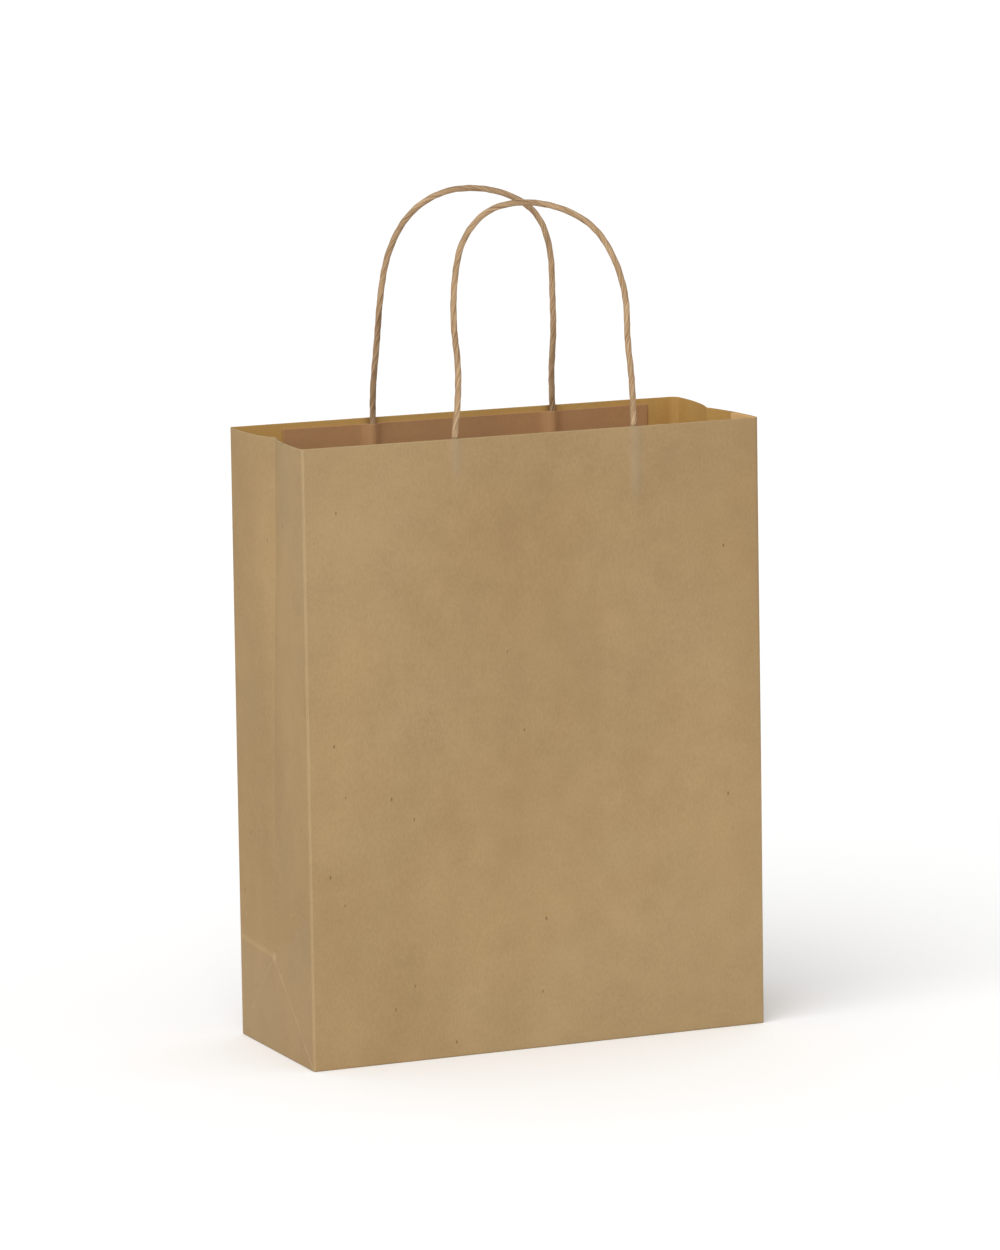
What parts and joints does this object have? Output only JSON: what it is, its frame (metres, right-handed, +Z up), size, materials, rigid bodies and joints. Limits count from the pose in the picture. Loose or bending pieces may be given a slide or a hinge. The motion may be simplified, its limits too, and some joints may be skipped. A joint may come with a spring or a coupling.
{
  "type": "gift bag",
  "caption": "Brown paper gift bag with a flat block bottom, creased side gussets and twisted paper cord handles that swing out and in.",
  "frame": {"origin": "middle of the base, on the surface that the bag stands on", "axes": "+Z up, +X along the broad walls, -Y out of the front wall"},
  "size_m": [0.25, 0.1, 0.4333],
  "materials": {
    "kraft_sheet": "brown paper, fine fibre, slight sheen outside",
    "patch_paper": "darker reddish brown paper, matt",
    "twisted_cord": "paper strip twisted into a cord, matt"
  },
  "bodies": {
    "bag": {"front_panel": "kraft_sheet", "back_panel": "kraft_sheet", "left_gusset_front": "kraft_sheet", "left_gusset_rear": "kraft_sheet", "left_gusset_foot": "kraft_sheet", "right_gusset_front": "kraft_sheet", "right_gusset_rear": "kraft_sheet", "right_gusset_foot": "kraft_sheet", "side_seam_lap": "kraft_sheet", "base_left_tuck": "kraft_sheet", "base_right_tuck": "kraft_sheet", "base_front_flap": "kraft_sheet", "base_back_flap": "kraft_sheet", "front_patch_outer_ply": "patch_paper", "front_patch_inner_ply": "patch_paper", "front_handle_ends": "twisted_cord", "back_patch_outer_ply": "patch_paper", "back_patch_inner_ply": "patch_paper", "back_handle_ends": "twisted_cord"},
    "front_handle": {"front_handle_loop": "twisted_cord"},
    "back_handle": {"back_handle_loop": "twisted_cord"}
  },
  "joints": [
    {"name": "front_handle_swing", "type": "hinge", "parent": "bag", "child": "front_handle", "pos_m": [0.0068, -0.04814, 0.3172], "axis": [1, 0, 0], "range_deg": [-13.8, 95], "stiffness_Nm_per_rad": 0.04},
    {"name": "back_handle_swing", "type": "hinge", "parent": "bag", "child": "back_handle", "pos_m": [0.0032, 0.04814, 0.3172], "axis": [-1, 0, 0], "range_deg": [-15.8, 93], "stiffness_Nm_per_rad": 0.04}
  ]
}
